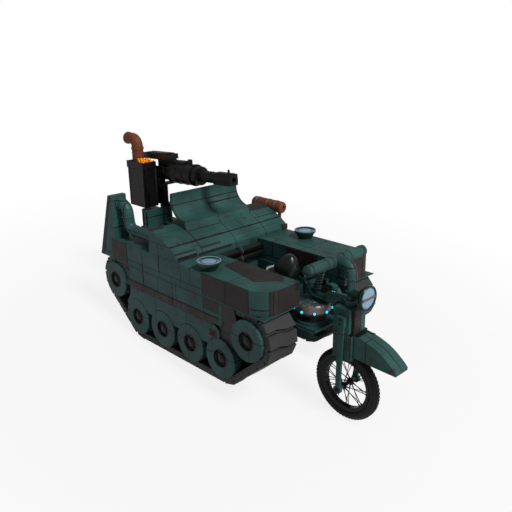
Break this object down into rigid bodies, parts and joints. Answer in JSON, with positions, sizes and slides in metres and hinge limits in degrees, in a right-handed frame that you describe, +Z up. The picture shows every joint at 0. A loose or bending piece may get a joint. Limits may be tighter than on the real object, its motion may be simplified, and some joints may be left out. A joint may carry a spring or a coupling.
{
  "type": "half-track motorcycle",
  "caption": "Armoured half-track motorcycle: steered front wheel, tracked rear body, saddle in an open well, rear gun mount that turns and elevates.",
  "frame": {"origin": "middle of the bounding box's underside, on the floor that the front wheel and the tracks' rear bend stand on", "axes": "+X forward, +Y to the rider's left, +Z up; parked nose up, as it comes to rest"},
  "size_m": [3.56, 1.5602, 1.802],
  "materials": {
    "body_paint": "satin paint, worn at the edges",
    "dark_panels": "dull dark paint",
    "black_metal": "semi-gloss black",
    "track_steel": "dull cast steel",
    "machined_steel": "dark oiled steel",
    "rusty_pipe": "brown scale",
    "lamp_shell": "gloss dark green",
    "lens": "pale blue glass",
    "saddle_leather": "glossy dark leather",
    "engine_casting": "grey casting with a pink cast",
    "glow": "cyan pilot lamp",
    "tyre_rubber": "black rubber",
    "gun_metal": "matt black",
    "brass_rounds": "bright brass"
  },
  "bodies": {
    "chassis": {"hull": "body_paint", "side_boxes": "body_paint", "fender_plates": "body_paint", "skirts": "body_paint", "track_covers": "body_paint", "track_frames": "dark_panels", "stub_axles": "dark_panels", "track_wheels": "body_paint", "hub_caps": "black_metal", "track_right": "track_steel", "track_left": "track_steel", "middle_deck": "body_paint", "hood": "body_paint", "backrest": "body_paint", "well_tubes": "machined_steel", "tail_plate": "body_paint", "side_pipe": "body_paint", "far_exhaust": "rusty_pipe", "lamp_bowls": "lamp_shell", "lamp_lenses": "lens", "seat_bracket": "dark_panels", "saddle": "saddle_leather", "engine_base": "body_paint", "engine_drum": "engine_casting", "engine_lamps": "glow", "tray": "body_paint", "engine_housing": "body_paint", "control_box": "body_paint", "engine_arms": "body_paint", "steering_head": "body_paint", "gun_pedestal": "body_paint", "rear_locker": "body_paint"},
    "fork": {"fork_crown": "body_paint", "fork_legs": "body_paint", "front_guard": "body_paint", "handlebar": "body_paint", "headlamp": "lamp_shell", "headlamp_lens": "lens"},
    "front_wheel": {"front_tyre": "tyre_rubber", "front_rim": "black_metal"},
    "gun_mount": {"gun_cradle": "black_metal", "ammo_box": "gun_metal", "cartridges": "brass_rounds", "vent_stack": "rusty_pipe"},
    "gun": {"gun_body": "gun_metal"}
  },
  "joints": [
    {"name": "steering", "type": "hinge", "parent": "chassis", "child": "fork", "pos_m": [1.16494, -0.04515, 1.04981], "axis": [-0.1491, 0, 0.9888], "range_deg": [-35, 35]},
    {"name": "front_wheel_spin", "type": "hinge", "parent": "fork", "child": "front_wheel", "pos_m": [1.27421, -0.04515, 0.325], "axis": [0, 1, 0], "continuous": true},
    {"name": "gun_traverse", "type": "hinge", "parent": "chassis", "child": "gun_mount", "pos_m": [-1.3233, -0.04515, 1.08629], "axis": [-0.1491, 0, 0.9888], "range_deg": [-150, 150]},
    {"name": "gun_elevation", "type": "hinge", "parent": "gun_mount", "child": "gun", "pos_m": [-1.37846, -0.04515, 1.45215], "axis": [0, -1, 0], "range_deg": [0, 30]}
  ]
}
